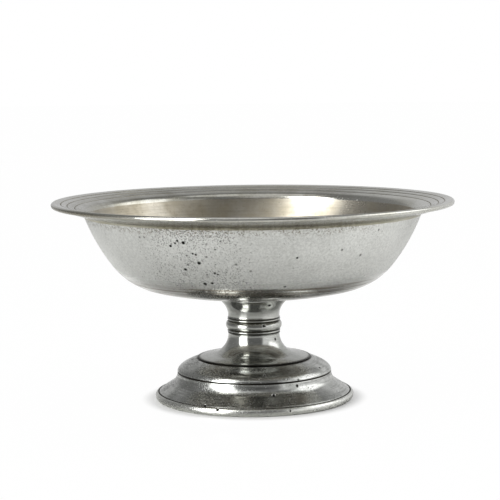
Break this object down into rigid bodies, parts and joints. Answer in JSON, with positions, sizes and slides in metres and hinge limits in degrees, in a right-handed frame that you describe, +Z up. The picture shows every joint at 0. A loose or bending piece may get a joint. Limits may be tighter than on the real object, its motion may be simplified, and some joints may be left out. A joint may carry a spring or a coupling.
{
  "type": "footed compote bowl",
  "caption": "Footed pewter bowl: deep round well, wide dished flange with incised lines, turned stem with a reeded collar, and a domed foot on a rounded base ring.",
  "frame": {"origin": "centre of the base ring's underside, on the surface that the bowl stands on", "axes": "+Z up along the axis that every piece is turned about; X and Y are alike"},
  "size_m": [0.28, 0.28, 0.1402],
  "materials": {
    "bowl_pewter": "satin antique pewter, dimpled, lightly tarnished under the rim",
    "rim_pewter": "satin antique pewter, turned, dark in the incised lines",
    "stem_pewter": "polished antique pewter, dark in the grooves",
    "foot_pewter": "polished antique pewter, pitted, dark in the joints",
    "solder": "dull oxidised soft solder"
  },
  "bodies": {
    "root": {"well": "bowl_pewter", "rim_flange": "rim_pewter", "rim_solder": "solder", "upper_stem": "stem_pewter", "stem_solder": "solder", "collar": "stem_pewter", "collar_solder": "solder", "lower_stem": "stem_pewter", "flare_solder": "solder", "foot": "foot_pewter", "base_solder": "solder", "base_ring": "foot_pewter"}
  },
  "joints": []
}
